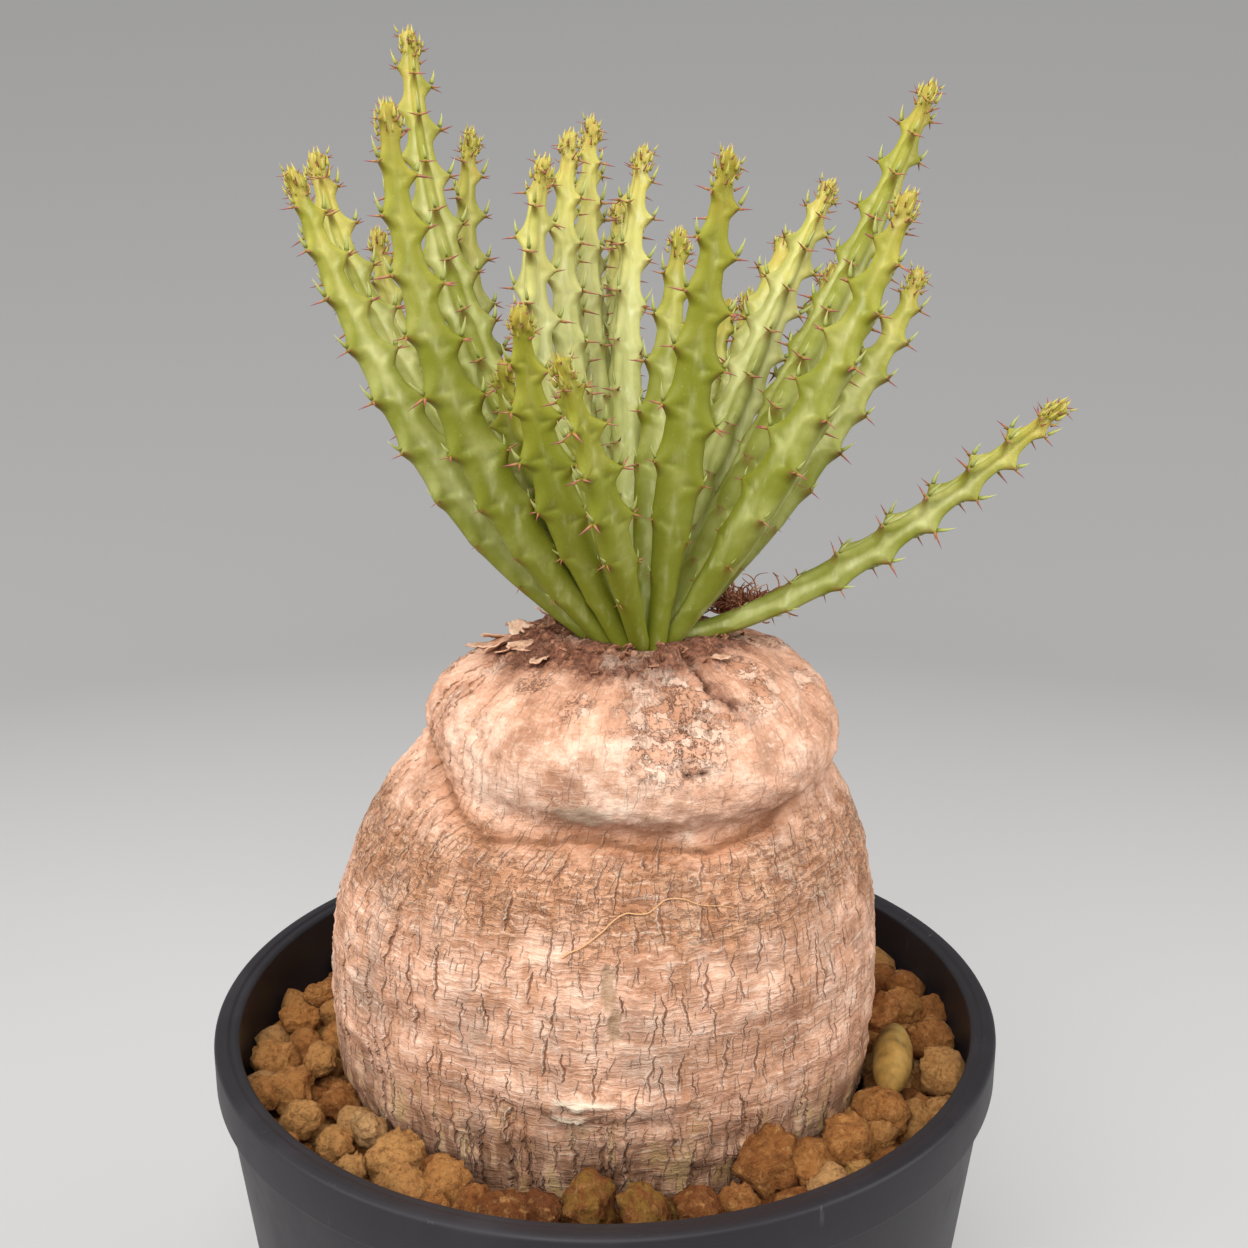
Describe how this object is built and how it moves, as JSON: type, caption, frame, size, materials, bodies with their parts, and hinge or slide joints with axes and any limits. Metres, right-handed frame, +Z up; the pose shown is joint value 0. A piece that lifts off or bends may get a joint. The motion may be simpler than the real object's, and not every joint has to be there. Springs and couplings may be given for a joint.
{
  "type": "potted euphorbia decidua",
  "caption": "Potted succulent with a swollen corky caudex, standing in brown volcanic gravel in a round black plastic pot, crowned by toothed, spined green stems.",
  "frame": {"origin": "centre of the pot's underside", "axes": "+Z up through the pot, -Y to the front of the plant, where the crown's groove shows"},
  "size_m": [0.1266, 0.12, 0.2441],
  "materials": {
    "black_plastic": "moulded polypropylene with a soft sheen and faint scuffs",
    "volcanic_gravel": "matt porous grains in ochre and brown",
    "mossy_stone": "smooth pebble with a thin coat of yellow-green moss",
    "cork_bark": "matt corky bark, cracked and striated",
    "dry_fibre": "dry red-brown fibres",
    "green_flesh": "waxy succulent skin with a satin sheen"
  },
  "bodies": {
    "root": {"pot": "black_plastic", "gravel_bed": "volcanic_gravel", "mossy_pebble": "mossy_stone", "caudex": "cork_bark", "fibre_tuft": "dry_fibre", "stem_01": "green_flesh", "stem_02": "green_flesh", "stem_03": "green_flesh", "stem_04": "green_flesh", "stem_05": "green_flesh", "stem_06": "green_flesh", "stem_07": "green_flesh", "stem_08": "green_flesh", "stem_09": "green_flesh", "stem_10": "green_flesh", "stem_11": "green_flesh", "stem_12": "green_flesh", "stem_13": "green_flesh", "stem_14": "green_flesh", "stem_15": "green_flesh", "stem_16": "green_flesh", "stem_17": "green_flesh", "stem_18": "green_flesh", "stem_19": "green_flesh", "stem_20": "green_flesh", "stem_21": "green_flesh", "stem_22": "green_flesh", "stem_23": "green_flesh", "stem_24": "green_flesh", "stem_25": "green_flesh"}
  },
  "joints": []
}
